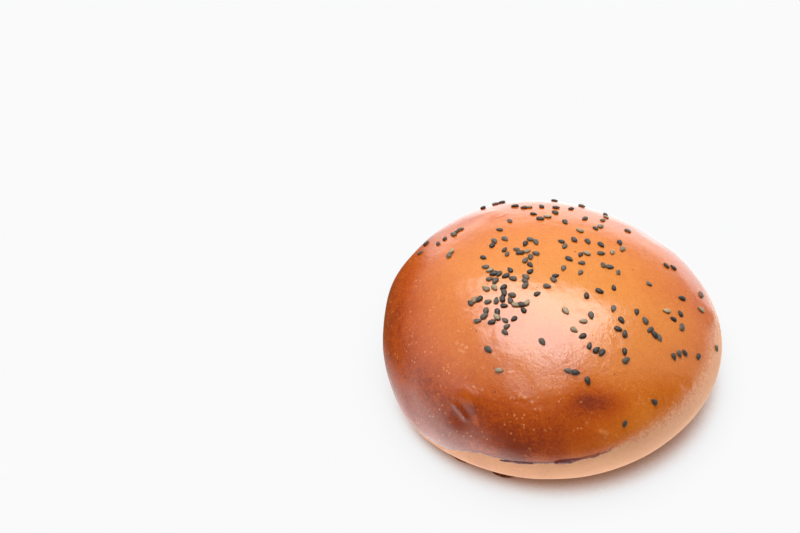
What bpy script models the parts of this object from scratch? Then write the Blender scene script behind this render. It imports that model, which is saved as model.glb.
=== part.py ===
# Round burger bun, glazed with egg wash and sprinkled with black sesame.
# Metres, +Z up. The bun rests on z = 0 with its middle over the origin, and its front faces -Y.

import math
import random

import bmesh
import bpy
from mathutils import Matrix, Vector

# Driving dimensions of the dough
BUN_RADIUS = 0.0625
BUN_HEIGHT = 0.0490
SHOULDER_HEIGHT = 0.0190
BASE_RADIUS = 0.0500
DOME_RISE = BUN_HEIGHT - SHOULDER_HEIGHT
TUCK_IN = BUN_RADIUS - BASE_RADIUS

# The outline is a little out of round: lobes, share of the radius, degrees to the first lobe.
OUTLINE_LOBES = ((2, 0.0150, 8.0), (3, 0.0180, -11.5), (4, 0.0030, 8.0))

# Local relief of the skin: azimuth and latitude in degrees, push outwards, reach.
SKIN_SWELLS = (
    (234.0, 21.0, -0.0011, 0.0050),
    (228.0, 30.0, 0.0006, 0.0060),
    (282.0, 22.0, 0.0005, 0.0016),
    (357.0, 22.0, 0.0009, 0.0055),
    (281.0, 38.0, -0.0004, 0.0070),
    (116.0, 43.0, 0.0005, 0.0050),
    (40.0, 26.0, -0.0006, 0.0060),
    (160.0, 12.0, 0.0009, 0.0110),
    (95.0, 8.0, -0.0008, 0.0090),
    (216.0, -38.0, 0.0016, 0.0180),
)

# The relief dies away over this height, towards the flat base.
RELIEF_FROM = 0.0040

# The dough's mesh
SIDES = 64
DOME_RINGS = 13
TUCK_RINGS = 6
WELD = 1e-6
OUTLINE_STEPS = 1440
SKIN_STEP = math.radians(0.5)
WIDEST_SHARE = 0.999

# Glaze that ran down and baked to thin flakes at the foot: azimuth in degrees,
# distance of the middle from the axis, length, width, thickness.
FOOT_FLAKES = (
    (249.5, 0.0545, 0.0098, 0.0052, 0.0011),
    (232.0, 0.0556, 0.0100, 0.0052, 0.0006),
)
FLAKE_ABOVE_TABLE = 0.0001

# The glaze's edge curls up into torn lips along the front: azimuth and latitude in degrees,
# length along the edge, width, thickness, rise of the right end in degrees.
GLAZE_LIPS = (
    (271.0, 6.0, 0.0090, 0.0022, 0.0011, 6.0),
    (279.0, 8.0, 0.0090, 0.0015, 0.0008, 7.0),
    (255.0, 2.3, 0.0120, 0.0012, 0.0007, 6.0),
)
LENS_SIDES = 12
LENS_RINGS = 4

# Sesame seeds, pear-shaped and lying flat
SEED_LENGTH = 0.0031
SEED_WIDTH = 0.0020
SEED_ABOVE_SKIN = 0.0009
SEED_BELOW_SKIN = 0.0006
SEED_SIDES = 8
SEED_TAPER = 0.30
SEED_RIM_HEIGHT = -0.0001
SEED_SHOULDER_SHARE = 0.68
SEED_SHOULDER_HEIGHT = 0.0007
SEED_SIZE_SPREAD = 0.12
SEED_LEAN = 9.0

# Pinches of seeds, in millimetres seen from above: middle x and y from the crown,
# half length, half width, turn of the pinch in degrees, number of seeds.
SEED_PINCHES = (
    (5.5, 54.5, 0.4, 0.4, 0.0, 1),
    (-18.5, 52.5, 8.6, 0.8, 30.0, 3),
    (-8.0, 44.5, 6.2, 1.4, -15.0, 3),
    (2.5, 42.5, 5.8, 4.8, 10.0, 3),
    (14.0, 47.5, 7.8, 0.4, 50.0, 2),
    (-36.0, 31.0, 7.2, 0.8, 30.0, 5),
    (-16.5, 30.0, 6.4, 0.4, -125.0, 2),
    (-2.0, 35.5, 6.0, 2.4, -20.0, 3),
    (20.0, 38.0, 13.2, 3.0, 35.0, 4),
    (30.5, 31.5, 0.4, 0.4, 0.0, 1),
    (-47.0, 28.5, 5.0, 0.4, -110.0, 2),
    (-37.5, 18.5, 1.4, 0.4, -120.0, 2),
    (-20.0, 20.0, 5.8, 1.6, -145.0, 3),
    (-8.0, 18.5, 3.0, 2.2, 65.0, 3),
    (9.0, 29.0, 6.8, 0.4, 135.0, 2),
    (19.0, 29.5, 2.8, 0.4, -135.0, 2),
    (26.5, 19.5, 3.4, 0.3, 105.0, 2),
    (-24.5, 8.0, 9.2, 0.6, -70.0, 4),
    (-15.5, 14.0, 3.8, 2.2, -135.0, 3),
    (-9.0, 11.0, 3.6, 3.8, -35.0, 5),
    (6.0, 17.5, 5.8, 2.8, -115.0, 3),
    (8.0, 6.5, 5.8, 6.8, 10.0, 5),
    (17.0, 15.0, 5.4, 6.8, -65.0, 5),
    (44.5, 13.0, 2.2, 0.4, 15.0, 2),
    (-22.5, -2.5, 4.2, 4.0, -75.0, 5),
    (-17.5, 2.5, 3.6, 3.2, -100.0, 4),
    (-10.5, 0.0, 6.8, 1.0, -110.0, 5),
    (-4.0, -4.5, 10.8, 0.4, 45.0, 4),
    (20.5, 5.5, 6.0, 0.3, 155.0, 3),
    (34.0, 0.5, 0.4, 0.4, 0.0, 1),
    (53.0, -1.0, 8.6, 7.2, -80.0, 3),
    (-27.5, -8.5, 6.4, 1.4, 170.0, 5),
    (-24.0, -16.5, 6.0, 3.0, 0.0, 7),
    (-18.5, -9.0, 3.0, 3.6, -165.0, 5),
    (-12.5, -13.0, 3.4, 2.6, 120.0, 4),
    (17.5, -8.0, 9.6, 6.8, 140.0, 4),
    (42.5, -11.5, 5.0, 4.2, -115.0, 4),
    (58.5, -16.5, 0.4, 0.4, 0.0, 1),
    (-18.0, -20.5, 6.6, 0.4, -115.0, 3),
    (-7.0, -27.5, 0.4, 0.4, 0.0, 1),
    (5.0, -18.5, 9.0, 5.2, -20.0, 4),
    (9.5, -28.0, 8.8, 1.0, -45.0, 4),
    (21.5, -20.5, 5.4, 1.8, -75.0, 3),
    (32.0, -19.5, 7.4, 1.0, -55.0, 5),
    (45.5, -25.5, 10.0, 1.0, -165.0, 4),
    (-24.0, -32.0, 7.0, 0.4, 115.0, 2),
    (4.5, -38.5, 7.8, 0.8, 155.0, 3),
    (22.0, -31.0, 2.8, 0.4, 105.0, 2),
    (20.5, -51.5, 0.4, 0.4, 0.0, 1),
    (31.0, -44.0, 0.4, 0.4, 0.0, 1),
)
SEED_SPACING = 0.0018
SEED_JITTER = 0.4
PINCH_TURN = math.radians(137.5)
TRIES = 60
DRAW_SEED = 11

# The crust's finish
CRUST_COLOUR = (0.50, 0.165, 0.033, 1.0)
CRUST_ROUGHNESS = 0.25
SHARP_ANGLE = 35.0


def clear_scene():
    for old in list(bpy.data.objects):
        bpy.data.objects.remove(old)


def outline(azimuth):
    """Share of the round radius at this azimuth."""
    return 1.0 + sum(
        share * math.cos(lobes * (azimuth - math.radians(first)))
        for lobes, share, first in OUTLINE_LOBES
    )


def outline_middle():
    """Middle of the box round the widest ring, which is then moved over the origin."""
    turns = [2 * math.pi * step / OUTLINE_STEPS for step in range(OUTLINE_STEPS)]
    xs = [BUN_RADIUS * outline(turn) * math.cos(turn) for turn in turns]
    ys = [BUN_RADIUS * outline(turn) * math.sin(turn) for turn in turns]
    return (max(xs) + min(xs)) / 2, (max(ys) + min(ys)) / 2


MIDDLE_X, MIDDLE_Y = outline_middle()


def profile(latitude):
    """Radius and height of the profile, from the crown at 90 degrees to the base's edge at -90."""
    along = math.cos(latitude)
    up = math.sin(latitude)
    if up >= 0:
        return BUN_RADIUS * along, SHOULDER_HEIGHT + DOME_RISE * up
    return BASE_RADIUS + TUCK_IN * along, SHOULDER_HEIGHT * (1 + up)


def bare_skin(azimuth, latitude):
    """Point of the skin before its relief."""
    radius, height = profile(latitude)
    reach = radius * outline(azimuth)
    x = reach * math.cos(azimuth) - MIDDLE_X
    y = reach * math.sin(azimuth) - MIDDLE_Y
    return Vector((x, y, height))


def swell_places():
    """Each swell of the skin as its middle, push and reach."""
    return [
        (bare_skin(math.radians(azimuth), math.radians(latitude)), push, reach)
        for azimuth, latitude, push, reach in SKIN_SWELLS
    ]


def relief(point, swells):
    """How far the skin is pushed outwards at a point."""
    return sum(
        push * math.exp(-(((point - middle).length / reach) ** 2))
        for middle, push, reach in swells
    )


def turned_dough(swells):
    """The bun without seeds: its profile spun round, put out of round and given its relief."""
    latitudes = [math.pi / 2 * (1 - ring / DOME_RINGS) for ring in range(DOME_RINGS + 1)]
    latitudes += [-math.pi / 2 * ring / TUCK_RINGS for ring in range(1, TUCK_RINGS + 1)]
    dough = bmesh.new()
    corners = [dough.verts.new((radius, 0, height)) for radius, height in map(profile, latitudes)]
    corners.append(dough.verts.new((0, 0, 0)))
    edges = [dough.edges.new(pair) for pair in zip(corners, corners[1:])]
    bmesh.ops.spin(
        dough,
        geom=corners + edges,
        cent=(0, 0, 0),
        axis=(0, 0, 1),
        angle=2 * math.pi,
        steps=SIDES,
        use_duplicate=False,
    )
    bmesh.ops.remove_doubles(dough, verts=dough.verts, dist=WELD)
    for vert in dough.verts:
        share = outline(math.atan2(vert.co.y, vert.co.x))
        vert.co.x = vert.co.x * share - MIDDLE_X
        vert.co.y = vert.co.y * share - MIDDLE_Y
    bmesh.ops.recalc_face_normals(dough, faces=dough.faces)
    dough.normal_update()
    pushes = [
        vert.normal * relief(vert.co, swells) * min(vert.co.z / RELIEF_FROM, 1)
        for vert in dough.verts
    ]
    for vert, push in zip(dough.verts, pushes):
        vert.co += push
    return dough


def skin_place(azimuth, latitude, swells):
    """Point of the skin with its relief, and the way out there."""
    point = bare_skin(azimuth, latitude)
    up = bare_skin(azimuth, latitude + SKIN_STEP) - point
    round_about = bare_skin(azimuth + SKIN_STEP, latitude) - point
    outwards = round_about.cross(up).normalized()
    return point + outwards * relief(point, swells), outwards


def dome_angles(x, y):
    """Azimuth and latitude of the dome over a point of the plan, measured from the crown."""
    azimuth = math.atan2(y, x)
    share = math.hypot(x, y) / (BUN_RADIUS * outline(azimuth))
    return azimuth, math.acos(min(share, WIDEST_SHARE))


def strewn_seeds(swells):
    """Matrix of each seed, pinch by pinch: spread from the pinch's middle out, each a little astray."""
    draw = random.Random(DRAW_SEED)
    strewn = []
    for middle_x, middle_y, half_length, half_width, turn, count in SEED_PINCHES:
        pinch = Matrix.Rotation(math.radians(turn), 2)
        for number in range(count):
            away = math.sqrt((number + 0.5) / count)
            along = half_length * away * math.cos(PINCH_TURN * number)
            across = half_width * away * math.sin(PINCH_TURN * number)
            for _ in range(TRIES):
                astray = Vector((draw.uniform(-1, 1), draw.uniform(-1, 1))) * SEED_JITTER
                offset = pinch @ Vector((along, across)) + astray
                x = (middle_x + offset.x) / 1000
                y = (middle_y + offset.y) / 1000
                point, outwards = skin_place(*dome_angles(x, y), swells)
                if all((point - seed.translation).length > SEED_SPACING for seed in strewn):
                    break
            heading = draw.uniform(0, 2 * math.pi)
            lean = math.radians(draw.uniform(-SEED_LEAN, SEED_LEAN))
            size = draw.uniform(1 - SEED_SIZE_SPREAD, 1 + SEED_SIZE_SPREAD)
            upright = outwards.to_track_quat("Z", "Y").to_matrix().to_4x4()
            strewn.append(
                Matrix.Translation(point)
                @ upright
                @ Matrix.Rotation(heading, 4, "Z")
                @ Matrix.Rotation(lean, 4, "X")
                @ Matrix.Scale(size, 4)
            )
    return strewn


def seed_outline(turn):
    """Pear-shaped outline of a seed, with its tip at -X."""
    blunt = 1 + SEED_TAPER * math.cos(turn)
    return SEED_LENGTH / 2 * math.cos(turn), SEED_WIDTH / 2 * math.sin(turn) * blunt


def seed_mesh():
    """One seed, lying on z = 0 and sunk a little below it."""
    seed = bmesh.new()
    corners = [seed_outline(2 * math.pi * side / SEED_SIDES) for side in range(SEED_SIDES)]
    rim = [seed.verts.new((x, y, SEED_RIM_HEIGHT)) for x, y in corners]
    shoulder = [
        seed.verts.new((x * SEED_SHOULDER_SHARE, y * SEED_SHOULDER_SHARE, SEED_SHOULDER_HEIGHT))
        for x, y in corners
    ]
    top = seed.verts.new((0, 0, SEED_ABOVE_SKIN))
    bottom = seed.verts.new((0, 0, -SEED_BELOW_SKIN))
    for side in range(SEED_SIDES):
        after = (side + 1) % SEED_SIDES
        seed.faces.new((bottom, rim[after], rim[side]))
        seed.faces.new((rim[side], rim[after], shoulder[after], shoulder[side]))
        seed.faces.new((shoulder[side], shoulder[after], top))
    bmesh.ops.recalc_face_normals(seed, faces=seed.faces)
    mesh = bpy.data.meshes.new("seed")
    seed.to_mesh(mesh)
    seed.free()
    return mesh


def lens_mesh(length, width, thickness):
    """Thin lens of baked glaze, with its length along Y."""
    lens = bmesh.new()
    bmesh.ops.create_uvsphere(lens, u_segments=LENS_SIDES, v_segments=LENS_RINGS, radius=0.5)
    bmesh.ops.scale(lens, vec=(width, length, thickness), verts=lens.verts)
    mesh = bpy.data.meshes.new("baked_glaze")
    lens.to_mesh(mesh)
    lens.free()
    return mesh


def add_object(name, mesh, collection, place):
    made = bpy.data.objects.new(name, mesh)
    made.matrix_world = place
    collection.objects.link(made)
    return made


def add_seeds(toppings, swells):
    seed = seed_mesh()
    for number, place in enumerate(strewn_seeds(swells)):
        add_object(f"seed_{number:03d}", seed, toppings, place)


def add_foot_flakes(toppings):
    for azimuth, distance, length, width, thickness in FOOT_FLAKES:
        height = thickness / 2 + FLAKE_ABOVE_TABLE
        place = (
            Matrix.Translation((-MIDDLE_X, -MIDDLE_Y, 0))
            @ Matrix.Rotation(math.radians(azimuth), 4, "Z")
            @ Matrix.Translation((distance, 0, height))
        )
        add_object("foot_flake", lens_mesh(length, width, thickness), toppings, place)


def add_glaze_lips(toppings, swells):
    for azimuth, latitude, length, width, thickness, rise in GLAZE_LIPS:
        point, outwards = skin_place(math.radians(azimuth), math.radians(latitude), swells)
        sideways = Vector((0, 0, 1)).cross(outwards).normalized()
        turned = Matrix((outwards.cross(sideways), sideways, -outwards)).transposed()
        tilt = Matrix.Rotation(-math.radians(rise), 4, "Z")
        place = Matrix.Translation(point) @ turned.to_4x4() @ tilt
        add_object("glaze_lip", lens_mesh(length, width, thickness), toppings, place)


def fuse(bun, toppings):
    """Joins everything in the collection to the bun, then removes the collection's objects."""
    union = bun.modifiers.new("fused_toppings", "BOOLEAN")
    union.operation = "UNION"
    union.operand_type = "COLLECTION"
    union.collection = toppings
    union.solver = "EXACT"
    bpy.context.view_layer.update()
    graph = bpy.context.evaluated_depsgraph_get()
    joined = bpy.data.meshes.new_from_object(bun.evaluated_get(graph))
    bun.modifiers.remove(union)
    bun.data = joined
    for topping in list(toppings.objects):
        bpy.data.objects.remove(topping)
    bpy.data.collections.remove(toppings)


def shells_of(whole):
    """The mesh's separate shells, each a list of its corners."""
    left = set(whole.verts)
    shells = []
    while left:
        shell = []
        reached = [left.pop()]
        while reached:
            vert = reached.pop()
            shell.append(vert)
            for edge in vert.link_edges:
                other = edge.other_vert(vert)
                if other in left:
                    left.remove(other)
                    reached.append(other)
        shells.append(shell)
    return sorted(shells, key=len)


def keep_largest_shell(mesh):
    """Drops loose scraps, and fills any hollow that the union sealed, whose wall is a shell too."""
    whole = bmesh.new()
    whole.from_mesh(mesh)
    scraps = [vert for shell in shells_of(whole)[:-1] for vert in shell]
    bmesh.ops.delete(whole, geom=scraps, context="VERTS")
    whole.to_mesh(mesh)
    whole.free()


def crust_material():
    material = bpy.data.materials.new("glazed_crust")
    material.use_nodes = True
    shader = material.node_tree.nodes["Principled BSDF"]
    shader.inputs["Base Color"].default_value = CRUST_COLOUR
    shader.inputs["Roughness"].default_value = CRUST_ROUGHNESS
    shader.inputs["Metallic"].default_value = 0.0
    return material


def main():
    clear_scene()
    scene = bpy.context.scene.collection
    swells = swell_places()

    dough = turned_dough(swells)
    body = bpy.data.meshes.new("bun")
    dough.to_mesh(body)
    dough.free()
    bun = add_object("bun", body, scene, Matrix.Identity(4))

    toppings = bpy.data.collections.new("toppings")
    scene.children.link(toppings)
    add_seeds(toppings, swells)
    add_foot_flakes(toppings)
    add_glaze_lips(toppings, swells)
    fuse(bun, toppings)
    keep_largest_shell(bun.data)

    bun.data.materials.clear()
    bun.data.materials.append(crust_material())
    bun.data.shade_smooth()
    bun.data.set_sharp_from_angle(angle=math.radians(SHARP_ANGLE))


main()
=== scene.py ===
# Hamburger bun: a glossy egg-washed crust sprinkled with black sesame, on a pale floor.
import math
import random

import bpy
import numpy as np
from mathutils import Matrix, Vector


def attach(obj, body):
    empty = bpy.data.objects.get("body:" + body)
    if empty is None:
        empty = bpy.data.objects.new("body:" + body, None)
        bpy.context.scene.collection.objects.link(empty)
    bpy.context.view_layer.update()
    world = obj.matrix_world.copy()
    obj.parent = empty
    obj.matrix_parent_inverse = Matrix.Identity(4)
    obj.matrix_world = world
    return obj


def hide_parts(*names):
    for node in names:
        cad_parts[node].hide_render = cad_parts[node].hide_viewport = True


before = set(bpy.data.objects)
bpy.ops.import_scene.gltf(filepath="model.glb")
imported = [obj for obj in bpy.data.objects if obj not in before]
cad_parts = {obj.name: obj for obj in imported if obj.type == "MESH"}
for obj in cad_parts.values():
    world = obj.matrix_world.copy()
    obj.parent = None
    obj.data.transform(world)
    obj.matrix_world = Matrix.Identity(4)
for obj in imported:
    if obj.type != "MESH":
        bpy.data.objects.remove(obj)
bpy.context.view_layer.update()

print("frame loaded:", sorted(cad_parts))


# Shader maths

# one output of a node, so that sums and products of it can be written out
class Wire:
    def __init__(self, nodes, socket):
        self.nodes = nodes
        self.socket = socket

    def maths(self, operation, *others, clamp=False):
        settings = {"operation": operation, "use_clamp": clamp}
        return self.nodes.node("ShaderNodeMath", settings, dict(enumerate((self, *others))))

    def __add__(self, other):
        return self.maths("ADD", other)

    def __sub__(self, other):
        return self.maths("SUBTRACT", other)

    def __rsub__(self, other):
        return (self * -1.0) + other

    def __mul__(self, other):
        return self.maths("MULTIPLY", other)

    def __truediv__(self, other):
        return self.maths("DIVIDE", other)

    __radd__ = __add__
    __rmul__ = __mul__

    def clamped(self):
        return self.maths("ADD", 0.0, clamp=True)

    # 0 below low, 1 above high, smooth between them
    def between(self, low, high):
        settings = {"interpolation_type": "SMOOTHSTEP"}
        return self.nodes.node("ShaderNodeMapRange", settings,
                               {"Value": self, "From Min": low, "From Max": high})


# a node tree, to which every node is added by the one method
class Nodes:
    def __init__(self, tree):
        self.tree = tree

    def node(self, kind, settings=None, sockets=None, output=0):
        made = self.tree.nodes.new(kind)
        for name, value in (settings or {}).items():
            if name == "stops":
                self.fillRamp(made.color_ramp, value)
            else:
                setattr(made, name, value)
        for name, value in (sockets or {}).items():
            socket = self.pick(made.inputs, name)
            if isinstance(value, Wire):
                self.tree.links.new(value.socket, socket)
            else:
                socket.default_value = value
        return Wire(self, self.pick(made.outputs, output))

    # a socket by its number, its name or its identifier
    def pick(self, sockets, key):
        if isinstance(key, int) or key in sockets:
            return sockets[key]
        return next(socket for socket in sockets if socket.identifier == key)

    def fillRamp(self, ramp, stops):
        ramp.elements.remove(ramp.elements[1])
        ramp.elements[0].position = stops[0][0]
        ramp.elements[0].color = (*stops[0][1], 1.0)
        for position, colour in stops[1:]:
            ramp.elements.new(position).color = (*colour, 1.0)

    def ramp(self, factor, *stops):
        return self.node("ShaderNodeValToRGB", {"stops": stops}, {"Fac": factor})

    def attribute(self, name):
        return self.node("ShaderNodeAttribute", {"attribute_name": name}, output="Fac")

    def place(self):
        return self.node("ShaderNodeTexCoord", output="Object")

    # noise from 0 to 1, its size in metres
    def noise(self, size, detail=2.0, roughness=0.5, distortion=0.0):
        return self.node("ShaderNodeTexNoise", {"noise_dimensions": "3D"},
                         {"Vector": self.place(), "Scale": 1.0 / size, "Detail": detail,
                          "Roughness": roughness, "Distortion": distortion})

    # distance to the nearest of many scattered points, its size in metres
    def dots(self, size):
        return self.node("ShaderNodeTexVoronoi", {"feature": "F1"},
                         {"Vector": self.place(), "Scale": 1.0 / size})

    def mix(self, factor, first, second):
        first = first if isinstance(first, Wire) else (*first, 1.0)
        second = second if isinstance(second, Wire) else (*second, 1.0)
        return self.node("ShaderNodeMix", {"data_type": "RGBA"},
                         {"Factor_Float": factor, "A_Color": first, "B_Color": second},
                         "Result_Color")

    def mixShaders(self, factor, first, second):
        return self.node("ShaderNodeMixShader", None, {0: factor, 1: first, 2: second})

    # how far a direction points the way named, from -1 to 1
    def towards(self, direction, way):
        return self.node("ShaderNodeVectorMath", {"operation": "DOT_PRODUCT"},
                         {0: direction, 1: Vector(way).normalized()}, "Value")

    # 1 where a direction or place lies within all the soft edges: way, where it starts and is full
    def within(self, vector, edges):
        inside = 1.0
        for way, low, high in edges:
            inside = self.towards(vector, way).between(low, high) * inside
        return inside

    # brightness at a direction or place: glows are added, then shades take their share away
    def brightness(self, vector, base, glows, shades):
        bright = base
        for light, edges in glows:
            bright = self.within(vector, edges) * light + bright
        for share, edges in shades:
            bright = (1 - self.within(vector, edges) * share) * bright
        return bright

    # relief of a depth in metres, added to what lies under it
    def bump(self, height, depth, onTop=None):
        sockets = {"Height": height, "Distance": depth}
        if onTop:
            sockets["Normal"] = onTop
        return self.node("ShaderNodeBump", None, sockets)


# a material with a Principled BSDF
class Finish(Nodes):
    def __init__(self, name, **constants):
        self.material = bpy.data.materials.new(name)
        self.material.use_nodes = True
        super().__init__(self.material.node_tree)
        self.shader = self.tree.nodes["Principled BSDF"]
        for socket, value in constants.items():
            self.shader.inputs[socket.replace("_", " ")].default_value = value

    def feed(self, **wires):
        for socket, wire in wires.items():
            self.tree.links.new(wire.socket, self.shader.inputs[socket.replace("_", " ")])


# an sRGB colour, 0 to 255, as linear light
def tint(red, green, blue):
    shares = [channel / 255 for channel in (red, green, blue)]
    return tuple(s / 12.92 if s <= 0.04045 else ((s + 0.055) / 1.055) ** 2.4 for s in shares)


# Small modelling helpers

def deselectAll():
    for piece in bpy.context.selected_objects:
        piece.select_set(False)


def startPiece(name):
    piece = bpy.context.active_object
    piece.name = name
    piece.data.name = name
    return piece


def applyModifier(piece, kind, **settings):
    modifier = piece.modifiers.new(kind.title(), kind)
    for name, value in settings.items():
        setattr(modifier, name, value)
    bpy.context.view_layer.objects.active = piece
    bpy.ops.object.modifier_apply(modifier=modifier.name)


def readTriples(items, name):
    found = np.empty(len(items) * 3)
    items.foreach_get(name, found)
    return found.reshape(-1, 3)


def corners(piece):
    return readTriples(piece.data.vertices, "co")


def cornerNormals(piece):
    return readTriples(piece.data.vertex_normals, "vector")


def moveCorners(piece, places):
    piece.data.vertices.foreach_set("co", places.ravel())
    piece.data.update()


# a value at each corner, which the finish reads by its name
def paint(piece, name, values):
    layer = piece.data.attributes.new(name, "FLOAT", "POINT")
    layer.data.foreach_set("value", np.asarray(values, dtype=np.float32))


def wear(piece, finish):
    piece.data.materials.clear()
    piece.data.materials.append(finish.material)
    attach(piece, "root")


# The bun's form

bun = {
    "radius": 0.0625,
    "height": 0.0490,
    "shoulder": 0.0190,
    "baseRadius": 0.0500,
    # the outline is out of round: lobes, share of the radius, degrees to the first lobe
    "lobes": ((2, 0.0150, 8.0), (3, 0.0180, -11.5), (4, 0.0030, 8.0)),
    # local relief: azimuth and latitude in degrees, push outwards, reach
    "swells": (
        (234.0, 21.0, -0.0011, 0.0050),
        (228.0, 30.0, 0.0006, 0.0060),
        (282.0, 22.0, 0.0005, 0.0016),
        (357.0, 22.0, 0.0009, 0.0055),
        (281.0, 38.0, -0.0004, 0.0070),
        (116.0, 43.0, 0.0005, 0.0050),
        (40.0, 26.0, -0.0006, 0.0060),
        (160.0, 12.0, 0.0009, 0.0110),
        (95.0, 8.0, -0.0008, 0.0090),
        (216.0, -38.0, 0.0016, 0.0180),
    ),
}
domeRise = bun["height"] - bun["shoulder"]
tuckIn = bun["radius"] - bun["baseRadius"]


# share of the round radius at an azimuth
def outline(azimuth):
    return 1.0 + sum(share * np.cos(lobes * (azimuth - math.radians(first)))
                     for lobes, share, first in bun["lobes"])


def outlineMiddle(steps=1440):
    turns = 2 * math.pi * np.arange(steps) / steps
    xs = bun["radius"] * outline(turns) * np.cos(turns)
    ys = bun["radius"] * outline(turns) * np.sin(turns)
    return (xs.max() + xs.min()) / 2, (ys.max() + ys.min()) / 2


middleX, middleY = outlineMiddle()


# radius and height of the profile, from the crown at 90 degrees to the base's edge at -90
def profile(latitude):
    along, up = np.cos(latitude), np.sin(latitude)
    radius = np.where(up >= 0, bun["radius"] * along, bun["baseRadius"] + tuckIn * along)
    height = np.where(up >= 0, bun["shoulder"] + domeRise * up, bun["shoulder"] * (1 + up))
    return radius, height


# latitudes down or up the profile, and how far along the skin each one lies
def profileArcs(first, last, steps=721):
    latitudes = np.radians(np.linspace(first, last, steps))
    radii, heights = profile(latitudes)
    runs = np.hypot(np.diff(radii), np.diff(heights))
    return latitudes, np.concatenate([[0], np.cumsum(runs)])


def around(reach, azimuth, height):
    return np.stack([reach * np.cos(azimuth) - middleX, reach * np.sin(azimuth) - middleY,
                     height + 0 * azimuth], axis=-1)


def skin(azimuth, latitude):
    radius, height = profile(latitude)
    return around(radius * outline(azimuth), azimuth, height)


def swellPlaces(swells):
    return [(skin(math.radians(azimuth), math.radians(latitude)), push, reach)
            for azimuth, latitude, push, reach in swells]


def relief(points, places):
    total = np.zeros(points.shape[:-1])
    for middle, push, reach in places:
        away = ((points - middle) ** 2).sum(axis=-1) / reach ** 2
        total += push * np.exp(-away)
    return total


# a point of the swollen skin, angles in radians, and the way out of it there
def skinPlace(azimuth, latitude, places, step=math.radians(0.5)):
    point = skin(azimuth, latitude)
    up = Vector(skin(azimuth, latitude + step) - point)
    roundAbout = Vector(skin(azimuth + step, latitude) - point)
    outwards = roundAbout.cross(up).normalized()
    return Vector(point) + outwards * float(relief(point, places)), outwards


# a sphere of even squares, settled onto the bun's profile and base
def settleOnProfile(directions):
    latitudes, arcs = profileArcs(90, -90)
    skinArc = arcs[-1]
    wholeArc = skinArc + bun["baseRadius"]
    fromCrown = np.arccos(np.clip(directions[:, 2], -1, 1)) / math.pi * wholeArc
    azimuth = np.arctan2(directions[:, 1], directions[:, 0])
    latitude = np.interp(fromCrown, arcs, latitudes)
    onBase = fromCrown > skinArc
    base = around((wholeArc - fromCrown) * outline(azimuth), azimuth, 0)
    places = np.where(onBase[:, None], base, skin(azimuth, latitude))
    latitude = np.where(onBase, -math.pi / 2, latitude)
    aboveBase = skinArc - np.minimum(fromCrown, skinArc)
    return places, azimuth, latitude, aboveBase


# The crust

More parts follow.
